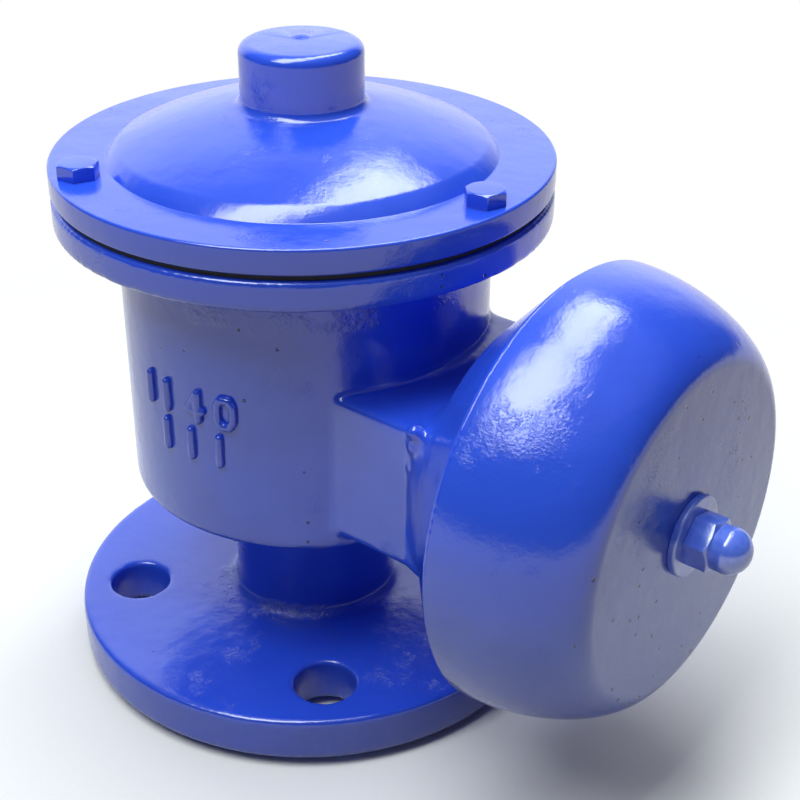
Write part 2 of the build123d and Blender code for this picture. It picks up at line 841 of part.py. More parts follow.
# Write one file for each piece
pieces = {
    "body_casting": body_casting,
    "seat_ring": seat_ring,
    "cover_gasket": cover_gasket,
    "cover": cover,
    "cover_screws": cover_screws,
    "guide_bush": guide_bush,
    "pressure_pallet": pressure_pallet,
    "guide_tube": guide_tube,
    "pressure_seal": pressure_seal,
    "weight_ring": weight_ring,
    "weight_screws": weight_screws,
    "vacuum_pallet": vacuum_pallet,
    "vacuum_seal": vacuum_seal,
    "vacuum_stem": vacuum_stem,
    "vacuum_spring": vacuum_spring,
    "spring_retainer": spring_retainer,
    "stem_nuts": stem_nuts,
    "element_gasket": element_gasket_ring,
    "rear_grid": rear_grid,
    "front_grid": front_grid,
    "element_casing": element_casing,
    "element_core": element_core,
    "flame_element": flame_element,
    "centre_stud": centre_stud,
    "element_washer": element_washer,
    "element_nut": element_nut,
    "hood": hood,
    "hood_washer": hood_washer,
    "cap_nut": cap_nut,
}
os.makedirs("parts", exist_ok=True)
for name, piece in pieces.items():
    piece.part.label = name
    export_step(piece.part, f"parts/{name}.step")
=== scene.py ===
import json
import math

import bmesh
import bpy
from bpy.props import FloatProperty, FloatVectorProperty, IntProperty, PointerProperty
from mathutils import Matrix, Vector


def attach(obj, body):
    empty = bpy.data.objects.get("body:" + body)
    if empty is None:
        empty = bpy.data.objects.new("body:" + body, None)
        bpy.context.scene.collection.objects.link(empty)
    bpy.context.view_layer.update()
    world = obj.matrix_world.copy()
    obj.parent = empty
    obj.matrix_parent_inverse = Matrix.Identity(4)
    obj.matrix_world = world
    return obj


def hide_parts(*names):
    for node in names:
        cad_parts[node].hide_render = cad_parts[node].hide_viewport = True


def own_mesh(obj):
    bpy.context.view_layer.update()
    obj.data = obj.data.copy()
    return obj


bl_info = {
    "name": "Flame arrester breather valve",
    "version": (1, 0, 0),
    "blender": (4, 5, 0),
    "location": "View3D > Sidebar > Valve",
    "description": "Painted castings, fasteners and inner parts of a small tank breather valve",
    "category": "Object",
}

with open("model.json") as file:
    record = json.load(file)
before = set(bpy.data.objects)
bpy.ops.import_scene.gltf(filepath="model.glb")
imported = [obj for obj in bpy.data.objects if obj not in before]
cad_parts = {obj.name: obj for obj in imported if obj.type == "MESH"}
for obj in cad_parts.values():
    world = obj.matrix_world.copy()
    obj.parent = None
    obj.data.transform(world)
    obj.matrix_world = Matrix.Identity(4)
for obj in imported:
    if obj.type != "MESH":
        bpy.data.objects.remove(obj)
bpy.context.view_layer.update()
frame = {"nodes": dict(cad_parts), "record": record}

MM = 0.001
ORIGIN = Vector((0, 0, 0))
SPIN_STEPS = 256
FINE_EDGE = 0.0004
FLANGE_EDGE = 0.0008
# Length of a sudden change of radius in a tube
STEP = 0.00001
# How far a cutting tool stands out of what it cuts
OVERCUT = 0.0025


# Sizes and colours that a user may change
def length(name, description, default):
    """A length property, in metres."""
    return FloatProperty(
        name=name, description=description, default=default, unit="LENGTH", min=0.0
    )


def colour(name, description, default):
    """A linear colour property."""
    return FloatVectorProperty(
        name=name, description=description, default=default, subtype="COLOR", size=3, min=0, max=1
    )


def turn(name, description, degrees):
    """An angle property, with its default in degrees."""
    return FloatProperty(
        name=name, description=description, default=math.radians(degrees), subtype="ANGLE"
    )


def sides(name, description, default):
    """The two sides of a rectangle, in metres."""
    return FloatVectorProperty(
        name=name, description=description, default=default, size=2, unit="LENGTH", min=0.0
    )


def number(name, description, default):
    """A plain number property."""
    return FloatProperty(name=name, description=description, default=default, min=0.0)


class CastingSizes(bpy.types.PropertyGroup):
    raised_face_radius: length("Raised face radius", "Radius of the sealing face", 0.0425)
    raised_face_height: length("Raised face height", "Height of the sealing face", 0.003)
    flange_radius: length("Flange radius", "Outer radius of the inlet flange", 0.0725)
    flange_top: length("Flange top", "Height of the inlet flange's upper face", 0.0165)
    flange_edge: length("Flange edge", "Rounding of the inlet flange's rim", 0.0012)
    bolt_circle: length("Bolt circle radius", "Radius of the bolt hole circle", 0.055)
    bolt_hole: length("Bolt hole radius", "Radius of each bolt hole", 0.009)
    bore_radius: length("Bore radius", "Radius of the inlet bore", 0.020)
    neck_radius: length("Neck radius", "Outer radius of the neck", 0.024)
    neck_fillet: length("Neck fillet", "Fillet between neck and flange", 0.004)
    chamber_radius: length("Chamber radius", "Outer radius of the chamber", 0.0523)
    chamber_inside: length("Chamber inside", "Inner radius of the chamber", 0.046)
    chamber_bottom: length("Chamber bottom", "Height of the chamber's underside", 0.0598)
    chamber_floor: length("Chamber floor", "Height of the floor inside", 0.0658)
    chamber_edge: length("Chamber edge", "Rounding of the chamber's lower edge", 0.0025)
    floor_fillet: length("Floor fillet", "Fillets of the chamber's floor inside", 0.003)
    eaves_fillet: length("Eaves fillet", "Fillet under the top flange", 0.0015)
    top_flange_radius: length("Top flange radius", "Radius of the flange under the cover", 0.069)
    top_flange_bottom: length("Top flange bottom", "Underside of the flange under the cover", 0.1404)
    joint_height: length("Joint height", "Height of the face under the gasket", 0.1487)
    screw_hole: length("Screw hole", "Radius of each cover screw's hole", 0.00305)
    pedestal_radius: length("Pedestal radius", "Outer radius of the seat's pedestal", 0.031)
    pedestal_top: length("Pedestal top", "Height of the seat's pedestal", 0.094)
    recess_radius: length("Recess radius", "Radius of the seat ring's recess", 0.0272)
    recess_floor: length("Recess floor", "Floor of the seat ring's recess", 0.088)
    throat_radius: length("Throat radius", "Radius of the throat below the seat", 0.024)
    throat_bottom: length("Throat bottom", "Where the throat begins to narrow", 0.080)
    bore_top: length("Bore top", "Top of the inlet bore", 0.062)
    duct_height: length("Duct height", "Height of the duct's outside", 0.043)
    duct_width: length("Duct width", "Width of the duct's outside", 0.069)
    duct_axis: length("Duct axis", "Height of the duct's centre line", 0.0866)
    duct_end: length("Duct end", "Where the straight sides of the duct end", 0.0655)
    duct_wall: length("Duct wall", "Wall of the duct", 0.005)
    duct_overlap: length("Duct overlap", "Overlap of the duct with the chamber's wall", 0.003)
    passage_start: length("Passage start", "Where the duct's passage begins", 0.0345)
    bowl_axis: length("Bowl axis", "Height of the bowl's axis", 0.0858)
    bowl_start: length("Bowl start", "Where the cone of the bowl begins", 0.0728)
    bowl_start_radius: length("Bowl start radius", "Radius where the cone begins", 0.0415)
    rim_plane: length("Rim plane", "Where the bowl's rim ends", 0.091)
    rim_radius: length("Rim radius", "Radius of the rim", 0.061)
    bowl_wall: length("Bowl wall", "Wall of the bowl", 0.0048)
    groove_depth: length("Groove depth", "Depth of the groove at the hood", 0.0015)
    groove_width: length("Groove width", "Width of the groove", 0.0006)
    spigot_radius: length("Spigot radius", "Radius of the spigot inside the hood", 0.054)
    spigot_end: length("Spigot end", "Where the spigot ends", 0.0975)
    element_mouth: length("Element mouth", "Radius behind the element", 0.0455)
    element_seat: length("Element seat", "Where the element's pocket begins", 0.088)
    pocket_radius: length("Pocket radius", "Radius of the element's pocket", 0.050)
    bridge_start: length("Bridge start", "Where the centre stud's bridge begins", 0.076)
    bridge_reach: length("Bridge reach", "Half the length of the bridge", 0.0405)
    bridge_half_height: length("Bridge half height", "Half the height of the bridge", 0.003)
    hub_radius: length("Hub radius", "Radius of the bridge's hub", 0.009)
    voxel: length("Grain", "Size of the mesh cells of the casting", 0.0008)


class CoverSizes(bpy.types.PropertyGroup):
    flange_radius: length("Flange radius", "Radius of the cover's flange", 0.069)
    flange_bottom: length("Flange bottom", "Height of the face on the gasket", 0.1502)
    flange_top: length("Flange top", "Height of the flange's upper face", 0.1572)
    bevel_outer: length("Bevel outer radius", "Radius at the foot of the bevel", 0.0536)
    bevel_inner: length("Bevel inner radius", "Radius at the top of the bevel", 0.0510)
    bevel_top: length("Bevel top", "Height of the top of the bevel", 0.1604)
    dome_rise: length("Dome rise", "Rise of the dome above the bevel", 0.0114)
    boss_radius: length("Boss radius", "Radius of the boss", 0.0168)
    boss_top: length("Boss top", "Height of the boss", 0.1873)
    boss_edge: length("Boss edge", "Rounding of the boss", 0.0030)
    boss_root: length("Boss root", "Fillet at the foot of the boss", 0.0025)
    wall: length("Wall", "Wall of the dome", 0.006)
    boss_roof: length("Boss roof", "Height of the boss's roof inside", 0.183)
    bush_radius: length("Bush radius", "Radius of the boss's bore", 0.01305)
    bush_depth: length("Bush depth", "How far the bore reaches below the dome", 0.009)
    register_outside: length("Register outside", "Outer radius of the cover's register", 0.0457)
    register_inside: length("Register inside", "Inner radius of the register", 0.0422)
    register_depth: length("Register depth", "Depth of the register", 0.003)


class HoodSizes(bpy.types.PropertyGroup):
    start: length("Start", "Where the hood's rim begins", 0.0916)
    depth: length("Depth", "Length of the hood", 0.0362)
    rim_radius: length("Rim radius", "Radius of the hood's rim", 0.061)
    face_radius: length("Face radius", "Radius of the flat face", 0.0438)
    wall: length("Wall", "Wall of the hood", 0.004)
    bore: length("Bore", "Radius of the hood's hole for the stud", 0.0045)
    vent_half_width: length("Vent half width", "Half the width of the vent mouth", 0.032)
    vent_end: length("Vent end", "Where the vent mouth ends", 0.116)
    vent_roof: length("Vent roof", "Depth of the cut below the axis", 0.044)


class FastenerSizes(bpy.types.PropertyGroup):
    screw_flats: length("Screw flats", "Width across flats of a cover screw", 0.010)
    screw_head: length("Screw head", "Height of a cover screw's head", 0.004)
    screw_radius: length("Screw radius", "Radius of a cover screw's shank", 0.003)
    screw_length: length("Screw length", "Length of a cover screw's shank", 0.016)
    screw_circle: length("Screw circle radius", "Radius of the screw circle", 0.0615)
    screw_count: IntProperty(name="Screws", description="Number of cover screws", default=3)
    nut_flats: length("Nut flats", "Width across flats of the cap nut", 0.013)
    nut_thickness: length("Nut thickness", "Height of the cap nut's hexagon", 0.0065)
    nut_height: length("Nut height", "Whole height of the cap nut", 0.015)
    nut_dome: length("Nut dome radius", "Radius of the cap nut's dome", 0.00625)
    nut_depth: length("Nut depth", "Depth of the cap nut's bore", 0.011)
    stud_hole: length("Stud hole", "Radius of the holes round the stud", 0.00405)
    washer_radius: length("Washer radius", "Outer radius of the hood washer", 0.011)
    washer_thickness: length("Washer thickness", "Thickness of the hood washer", 0.002)


class PaintLook(bpy.types.PropertyGroup):
    paint: colour("Paint", "Gloss enamel over the castings", (0.030, 0.098, 0.78))
    paint_deep: colour("Deep paint", "The same enamel where it lies thick", (0.024, 0.076, 0.66))
    paint_thin: colour("Thin paint", "The enamel on the cap nut, thin over zinc", (0.15, 0.26, 0.95))
    # Painted shade: the dark inside of the small pits
    pit: colour("Pit", "Inside of the small casting pits", (0.010, 0.012, 0.04))
    # Partly real dust in random drifts, partly painted shade on the crust rings under the top flange
    # and at the neck's foot
    dust_and_shade: colour("Dust", "Sand and dust caught in the rough paint", (0.16, 0.14, 0.14))


class StageLook(bpy.types.PropertyGroup):
    floor: colour("Floor", "Colour of the floor", (0.90, 0.87, 0.87))
    floor_pool: length("Lit floor", "Radius of the floor that takes the valve's shadow", 0.34)
    floor_bounce: colour("Floor bounce", "Colour that the floor throws back up", (0.26, 0.25, 0.24))
    surround: colour("Surround", "Colour of the room's light", (0.90, 0.95, 1.0))
    room_level: number("Room level", "Brightness of the room's walls", 0.06)
    backdrop_level: number("Backdrop level", "Brightness added behind the valve", 1.4)
    backdrop_turn: turn("Backdrop turn", "Direction of the backdrop's middle round Z", 140)
    ceiling_level: number("Ceiling level", "Brightness added overhead", 0.30)
    box_distance: length("Softbox distance", "From the middle of the valve to each softbox", 0.9)
    box_tint: colour("Softbox tint", "Colour of the softboxes", (0.92, 1.0, 0.99))
    front_turn: turn("Front turn", "Direction of the front softbox round Z", -97)
    front_rise: turn("Front rise", "Height angle of the front softbox", 67)
    front_power: number("Front power", "Power of the front softbox in watts", 7.2)
    front_size: sides("Front size", "Width and height of the front softbox", (0.36, 0.72))
    back_turn: turn("Back turn", "Direction of the back softbox round Z", 102)
    back_rise: turn("Back rise", "Height angle of the back softbox", 71)
    back_power: number("Back power", "Power of the back softbox in watts", 4.1)
    back_size: sides("Back size", "Width and height of the back softbox", (0.25, 0.62))


# Small tools for meshes
def rounded(corners, closed=True, steps=8):
    """Points of a profile given as (radius, height, rounding), with each rounding as an arc."""
    points = []
    count = len(corners)
    for index, (x, y, fillet) in enumerate(corners):
        here = Vector((x, y))
        if fillet <= 0 or (not closed and index in (0, count - 1)):
            points.append(here)
            continue
        before = Vector(corners[index - 1][:2])
        after = Vector(corners[(index + 1) % count][:2])
        back = (before - here).normalized()
        ahead = (after - here).normalized()
        half = back.angle(ahead) / 2
        reach = fillet / math.tan(half)
        centre = here + (back + ahead).normalized() * (fillet / math.sin(half))
        start = here + back * reach - centre
        end = here + ahead * reach - centre
        sweep = start.angle_signed(end)
        for step in range(steps + 1):
            arc = start.copy()
            arc.rotate(Matrix.Rotation(-sweep * step / steps, 2))
            points.append(centre + arc)
    return points


def spun(points, along, origin, closed=True, steps=SPIN_STEPS):
    """A body of revolution from (radius, distance) points, round the Z or the X axis."""
    bm = bmesh.new()
    upright = along == "Z"
    axis = Vector((0, 0, 1) if upright else (1, 0, 0))
    places = [Vector((r, 0, d) if upright else (d, 0, r)) for r, d in points]
    verts = [bm.verts.new(origin + place) for place in places]
    edges = [bm.edges.new(pair) for pair in zip(verts, verts[1:])]
    if closed:
        edges.append(bm.edges.new((verts[-1], verts[0])))
    bmesh.ops.spin(
        bm,
        geom=verts + edges,
        cent=origin,
        axis=axis,
        angle=2 * math.pi,
        steps=steps,
        use_merge=True,
    )
    bmesh.ops.remove_doubles(bm, verts=bm.verts, dist=1e-6)
    bmesh.ops.recalc_face_normals(bm, faces=bm.faces)
    return bm


def smooth(obj, angle):
    """Shades an object smooth, up to an angle in degrees between two faces."""
    obj.data.shade_smooth()
    obj.data.set_sharp_from_angle(angle=math.radians(angle))


def piece(name, bm, smooth_angle=35):
    """An object in the scene from a bmesh, shaded smooth up to an angle."""
    mesh = bpy.data.meshes.new(name)
    bm.to_mesh(mesh)
    bm.free()
    obj = bpy.data.objects.new(name, mesh)
    bpy.context.scene.collection.objects.link(obj)
    smooth(obj, smooth_angle)
    return obj


def baked(obj):
    """Applies the modifiers of an object to its mesh."""
    depsgraph = bpy.context.evaluated_depsgraph_get()
    mesh = bpy.data.meshes.new_from_object(obj.evaluated_get(depsgraph))
    obj.modifiers.clear()
    old = obj.data
    obj.data = mesh
    bpy.data.meshes.remove(old)
    return obj


def combined(obj, tool, operation):
    """Adds or cuts a helper object, which is then deleted."""
    step = obj.modifiers.new("combine", "BOOLEAN")
    step.operation = operation
    step.solver = "EXACT"
    step.object = tool
    baked(obj)
    bpy.data.objects.remove(tool)
    return obj


def block(name, low, high):
    """A helper box between two corners."""
    bm = bmesh.new()
    size = Vector(high) - Vector(low)
    middle = (Vector(high) + Vector(low)) / 2
    place = Matrix.Translation(middle) @ Matrix.Diagonal((*size, 1))
    bmesh.ops.create_cube(bm, size=1.0, matrix=place)
    return piece(name, bm)


def prism(name, radius, height, corners, place):
    """A prism that is built upright round its own middle and then placed."""
    bm = bmesh.new()
    bmesh.ops.create_cone(
        bm,
        cap_ends=True,
        segments=corners,
        radius1=radius,
        radius2=radius,
        depth=height,
        matrix=place,
    )
    return piece(name, bm)


def rod(name, radius, start, end, steps=64):
    """A helper cylinder between two points."""
    line = Vector(end) - Vector(start)
    facing = line.to_track_quat("Z", "Y").to_matrix().to_4x4()
    middle = Matrix.Translation((Vector(start) + Vector(end)) / 2)
    return prism(name, radius, line.length, steps, middle @ facing)


def ball(name, radius, place, detail=2):
    """A helper ball."""
    bm = bmesh.new()
    middle = Matrix.Translation(place)
    bmesh.ops.create_icosphere(bm, subdivisions=detail, radius=radius, matrix=middle)
    return piece(name, bm)


SMOOTHING = 3


def cast_skin(obj, voxel, triangles, melts=None, melting=0):
    """Runs the edges of a joined casting together, most of all where melts() is true."""
    remesh = obj.modifiers.new("grain", "REMESH")
    remesh.mode = "VOXEL"
    remesh.voxel_size = voxel
    baked(obj)
    bm = bmesh.new()
    bm.from_mesh(obj.data)
    corners = [vert for vert in bm.verts if melts and melts(vert.co)]
    for step in range(SMOOTHING + melting):
        verts = bm.verts if step < SMOOTHING else corners
        bmesh.ops.smooth_vert(
            bm, verts=verts, factor=0.5, use_axis_x=True, use_axis_y=True, use_axis_z=True
        )
    bm.to_mesh(obj.data)
    bm.free()
    faces = sum(len(p.vertices) - 2 for p in obj.data.polygons)
    if faces > triangles:
        thin = obj.modifiers.new("thin", "DECIMATE")
        thin.ratio = triangles / faces
        baked(obj)
    obj.data.shade_smooth()
    return obj


def finish_piece(obj, body, material, replaced=()):
    """Gives a finished piece its body, its material and the nodes it stands for."""
    obj.data.materials.clear()
    obj.data.materials.append(material)
    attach(obj, body)
    if replaced:
        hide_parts(*replaced)
    return obj


# Materials
class Nodes:
    """A node tree that is put together step by step."""

    def __init__(self, owner, space):
        owner.use_nodes = True
        self.tree = owner.node_tree
        self.tree.nodes.clear()
        self.coordinate = self.new("TexCoord").outputs[space]

    def new(self, kind, **inputs):
        """A node and its named inputs, where an underscore stands for a space."""
        node = self.tree.nodes.new("ShaderNode" + kind)
        for name, value in inputs.items():
            self.feed(node.inputs[name.replace("_", " ")], value)
        return node

    def feed(self, socket, value):
        """Links an output to the socket, or sets the socket's own value."""
        if hasattr(value, "links"):
            self.tree.links.new(value, socket)
        elif socket.type == "RGBA":
            socket.default_value = (*value, 1.0)
        else:
            socket.default_value = value

    def ramp(self, source, low, high, bottom=0.0, top=1.0):
        node = self.new("MapRange", Value=source, From_Min=low, From_Max=high)
        self.feed(node.inputs["To Min"], bottom)
        self.feed(node.inputs["To Max"], top)
        node.interpolation_type = "SMOOTHSTEP"
        return node.outputs["Result"]

    def maths(self, operation, first, second):
        node = self.new("Math")
        node.operation = operation
        self.feed(node.inputs[0], first)
        self.feed(node.inputs[1], second)
        return node.outputs["Value"]

    def mixed(self, factor, first, second):
        """Two shaders, the second as far as the factor says."""
        node = self.new("MixShader")
        for socket, source in zip(node.inputs, (factor, first, second)):
            self.feed(socket, source)
        return node.outputs["Shader"]


class Shader(Nodes):
    """A material with one Principled surface."""

    def __init__(self, name):
        self.material = bpy.data.materials.new(name)
        super().__init__(self.material, "Object")
        self.surface = self.new("BsdfPrincipled")
        self.out = self.new("OutputMaterial", Surface=self.surface.outputs["BSDF"])

    def noise(self, scale, detail=3.0, roughness=0.5):
        node = self.new("TexNoise", Vector=self.coordinate, Scale=scale, Detail=detail)
        self.feed(node.inputs["Roughness"], roughness)
        return node.outputs["Fac"]

    def mix(self, factor, first, second):
        node = self.new("Mix")
        node.data_type = "RGBA"
        for socket, value in ((0, factor), (6, first), (7, second)):
            self.feed(node.inputs[socket], value)
        return node.outputs[2]

    def axis(self, letter):
        return self.new("SeparateXYZ", Vector=self.coordinate).outputs[letter]

    def radius(self):
        """Distance from the Z axis."""
        flat, distance = self.new("VectorMath"), self.new("VectorMath")
        flat.operation, distance.operation = "MULTIPLY", "LENGTH"
        self.feed(flat.inputs[0], self.coordinate)
        self.feed(flat.inputs[1], (1.0, 1.0, 0.0))
        self.feed(distance.inputs[0], flat.outputs["Vector"])
        return distance.outputs["Value"]

    def band(self, source, low, high, soft=0.0015):
        """1 between two limits, fading out beyond them."""
        above = self.ramp(source, low - soft, low + soft)
        below = self.ramp(source, high - soft, high + soft, 1.0, 0.0)
        return self.maths("MULTIPLY", above, below)

    def bump(self, height, distance, normal=None):
        node = self.new("Bump", Strength=1.0, Distance=distance, Height=height)
        if normal is not None:
            self.feed(node.inputs["Normal"], normal)
        return node.outputs["Normal"]

    def finish(self, **inputs):
        """Feeds the surface's named inputs and gives the material."""
        for name, value in inputs.items():
            self.feed(self.surface.inputs[name.replace("_", " ")], value)
        return self.material


# Patterns of the paint, by how often they repeat in a metre, and how high they stand
PEEL_SCALE = 260.0
SWELL_SCALE = 55.0
SAND_SCALE = 1300.0
PATCH_SCALE = 30.0
TONE_SCALE = 22.0
PIT_SCALE = 230.0
CRUST_SCALE = 48.0
LUMP_SCALE = 600.0
DUST_SCALE = 17.0
SWELL_HEIGHT = 0.0004
GRAIN_HEIGHT = 0.0002
LUMP_HEIGHT = 0.00035
PEEL_SHARE, SAND_SHARE, ROUGH_SHARE = 0.45, 0.22, 0.36
PAINT_IOR, ZINC_IOR = 1.75, 2.2


def pits(shader, share, beyond):
    """Lone round casting pits, all over or only beyond a place along X."""
    cells = shader.new("TexVoronoi", Vector=shader.coordinate, Scale=PIT_SCALE)
    lone = shader.ramp(cells.outputs["Color"], 1.0 - share, 1.02 - share)
    hole = shader.ramp(cells.outputs["Distance"], 0.06, 0.14, 1.0, 0.0)
    pit = shader.maths("MULTIPLY", hole, lone)
    if beyond is None:
        return pit
    return shader.maths("MULTIPLY", pit, shader.ramp(shader.axis("X"), beyond, beyond + MM))


def crusted(shader, rings):
    """Patches of old crust in rings, each with its lowest, highest, inner and outer limit; the dust
    colour that lies on them is painted shade.
    """
    crust_and_shade = 0.0
    for low, high, inner, outer in rings:
        level = shader.band(shader.axis("Z"), low, high)
        ring = shader.maths("MULTIPLY", level, shader.band(shader.radius(), inner, outer))
        crust_and_shade = shader.maths("MAXIMUM", ring, crust_and_shade)
    patches = shader.ramp(shader.noise(CRUST_SCALE, 5.0, 0.7), 0.48, 0.66)
    return shader.maths("MULTIPLY", crust_and_shade, patches)


def gloss_paint(
    look,
    name,
    grain=1.0,
    pit_share=0.15,
    pitted_beyond=None,
    dust_and_shade=0.0,
    crusts=(),
    thin=False,
    polish=0.14,
):
    """Gloss enamel over a sand casting: orange peel, grainy patches, small pits with painted shade
    inside, and dust, which is painted shade where it lies on the crust rings.
    """
    shader = Shader(name)
    peel = shader.noise(PEEL_SCALE, 2.0)
    sand = shader.noise(SAND_SCALE, 3.0, 0.7)
    if thin:
        cover = shader.ramp(peel, 0.35, 0.65, 0.0, 0.5)
        base = shader.mix(cover, tuple(look.paint_thin), tuple(look.paint))
    else:
        tone = shader.ramp(shader.noise(TONE_SCALE), 0.3, 0.7)
        base = shader.mix(tone, tuple(look.paint), tuple(look.paint_deep))
    pit = pits(shader, pit_share, pitted_beyond)
    # Painted shade inside the pits, over the real pits that the bump cuts below
    base = shader.mix(shader.maths("MULTIPLY", pit, 0.95), base, tuple(look.pit))
    crust_and_shade = crusted(shader, crusts)
    patch = shader.ramp(shader.noise(PATCH_SCALE, 6.0, 0.75), 0.55, 0.70)
    patch = shader.maths("MAXIMUM", patch, crust_and_shade)
    rough = shader.maths("MULTIPLY", patch, shader.ramp(sand, 0.42, 0.66))
    if dust_and_shade:
        drifts = shader.ramp(shader.noise(DUST_SCALE, 4.0, 0.6), 0.55, 0.68)
        # Painted shade: the dust colour on the crust rings, which lie where shade falls
        shade_on_crust = shader.maths("MULTIPLY", shader.ramp(sand, 0.45, 0.60), crust_and_shade)
        settled_dust_and_shade = shader.maths("MAXIMUM", shader.maths("MULTIPLY", drifts, rough), shade_on_crust)
        base = shader.mix(shader.maths("MULTIPLY", settled_dust_and_shade, dust_and_shade), base, tuple(look.dust_and_shade))
    peeled = shader.maths("MULTIPLY", peel, PEEL_SHARE)
    height = shader.maths("ADD", peeled, shader.maths("MULTIPLY", sand, SAND_SHARE))
    height = shader.maths("ADD", height, shader.maths("MULTIPLY", rough, ROUGH_SHARE))
    height = shader.maths("SUBTRACT", height, pit)
    normal = shader.bump(shader.noise(SWELL_SCALE, 2.0), SWELL_HEIGHT)
    if crusts:
        lumps = shader.maths("MULTIPLY", shader.noise(LUMP_SCALE, 4.0, 0.6), crust_and_shade)
        normal = shader.bump(lumps, LUMP_HEIGHT, normal)
    return shader.finish(
        Base_Color=base,
        Roughness=shader.ramp(rough, 0.0, 1.0, polish, polish + 0.14),
        Normal=shader.bump(height, GRAIN_HEIGHT * grain, normal),
        IOR=ZINC_IOR if thin else PAINT_IOR,
    )


def turned_metal(name, base, grain_scale, roughness):
    """Metal with fine turning marks and a little uneven polish."""
    shader = Shader(name)
    marks = shader.noise(grain_scale, 4.0, 0.6)
    cloud = shader.noise(60.0, 3.0, 0.5)
    darker = tuple(c * 0.72 for c in base)
    tone = shader.mix(shader.ramp(cloud, 0.35, 0.7), base, darker)
    return shader.finish(
        Base_Color=tone,
        Metallic=1.0,
        Roughness=shader.ramp(marks, 0.3, 0.7, roughness, roughness + 0.15),
        Normal=shader.bump(marks, 0.00006),
    )


def soft_sheet(name, base, scale):
    """Gasket sheet or rubber with fine fibres and a dull skin."""
    shader = Shader(name)
    fibre = shader.noise(scale, 5.0, 0.75)
    lighter = tuple(min(1.0, c * 1.9 + 0.01) for c in base)
    tone = shader.mix(shader.ramp(fibre, 0.4, 0.65), base, lighter)
    return shader.finish(
        Base_Color=tone,
        Roughness=shader.ramp(fibre, 0.3, 0.7, 0.6, 0.85),
        Normal=shader.bump(fibre, 0.00008),
    )


def matt_floor(look):
    """Pale floor: takes the valve's shadow, is plain white far out, throws little light up."""
    shader = Shader("pale_floor")
    speck = shader.noise(900.0, 2.0)
    darker = tuple(c * 0.985 for c in look.floor)
    tone = shader.mix(shader.ramp(speck, 0.2, 0.8), tuple(look.floor), darker)
    path = shader.new("LightPath")
    seen = path.outputs["Is Camera Ray"]
    for ray in ("Is Glossy Ray", "Is Transmission Ray"):
        seen = shader.maths("MAXIMUM", seen, path.outputs[ray])
    tone = shader.mix(seen, tuple(look.floor_bounce), tone)
    shader.finish(Base_Color=tone, Roughness=0.9, Normal=shader.bump(speck, 0.00002))
    white = shader.new("Emission", Strength=1.0)
    far = shader.ramp(shader.radius(), look.floor_pool * 0.5, look.floor_pool)
    both = shader.mixed(
        shader.maths("MULTIPLY", far, seen),
        shader.surface.outputs["BSDF"],
        white.outputs["Emission"],
    )
    shader.feed(shader.out.inputs["Surface"], both)
    return shader.material


# The casting
SECTION_POINTS = 192


def tube(name, size, wall, duct, bowl):
    """A closed solid along X, by the places of its square and of its round sections."""
    half_width, half_height = size.duct_width / 2 - wall, size.duct_height / 2 - wall
    bm = bmesh.new()
    loops = []
    for x, radius in [(x, None) for x in duct] + bowl:
        height = size.bowl_axis if radius else size.duct_axis
        loop = []
        for index in range(SECTION_POINTS):
            angle = 2 * math.pi * (index + 0.5) / SECTION_POINTS
            across, up = math.cos(angle), math.sin(angle)
            reach = radius or min(half_width / abs(across), half_height / abs(up))
            loop.append(bm.verts.new((x, reach * across, height + reach * up)))
        loops.append(loop)
    for first, second in zip(loops, loops[1:]):
        edges = []
        for loop in (first, second):
            for pair in zip(loop, loop[1:] + loop[:1]):
                edges.append(bm.edges.get(pair) or bm.edges.new(pair))
        bmesh.ops.bridge_loops(bm, edges=edges)
    for loop in (loops[0], loops[-1]):
        bm.faces.new(loop)
    bmesh.ops.recalc_face_normals(bm, faces=bm.faces)
    return piece(name, bm)


# Marks as lines of points in millimetres, and their rows with a height and a place round Z
HALF_ZERO = ((1.2, 4.0), (2.3, 2.2), (2.3, -2.2), (1.2, -4.0))
OTHER_HALF = tuple((-across, -up) for across, up in HALF_ZERO)
MARK_LINES = {
    "4": (((1.1, 4.1), (-2.2, -1.2), (2.4, -1.2)), ((1.1, 4.1), (1.1, -4.1))),
    "0": (OTHER_HALF[-1:] + HALF_ZERO + OTHER_HALF,),
    "bar": (((0.0, 4.0), (0.0, -4.0)),),
}
STROKE = 0.0013
STROKE_LIFT = 0.0003
MARK_ROWS = (
    (101.5, (("bar", -102.0), ("bar", -94.0), ("4", -83.0), ("0", -72.5))),
    (89.5, (("bar", -95.0), ("bar", -85.0), ("bar", -75.0))),
)
MARK_VOXEL = 0.0003
MARK_TRIANGLES = 60000


def cast_marks(size):
    """Raised foundry marks on the chamber: the bore in millimetres and plain tally bars."""

    def on_wall(degrees, across, up):
        turned = math.radians(degrees) + across * MM / size.chamber_radius
        out = size.chamber_radius + STROKE_LIFT
        return Vector((out * math.cos(turned), out * math.sin(turned), up * MM))

    marks = bmesh.new()
    lines = [
        [on_wall(degrees, across, height + up) for across, up in line]
        for height, row in MARK_ROWS
        for mark, degrees in row
        for line in MARK_LINES[mark]
    ]
    for line in lines:
        for ends in zip(line, line[1:]):
            helpers = [rod("stroke", STROKE, *ends, 12)]
            helpers += [ball("stroke_end", STROKE, spot) for spot in ends]
            for helper in helpers:
                marks.from_mesh(helper.data)
                bpy.data.objects.remove(helper)
    return cast_skin(piece("cast_marks", marks), MARK_VOXEL, MARK_TRIANGLES)


# Where the bead lies, its radii, and its drips as place along X, drop and radius
BEAD_OUT = 0.0004
DRIP_OUT = 0.0002
SIDE_BEAD, TOP_BEAD = 0.0007, 0.0006
DRIPS = ((0.0014, -0.0002, 0.0023), (0.0012, 0.0042, 0.0019), (0.0, 0.011, 0.0011))


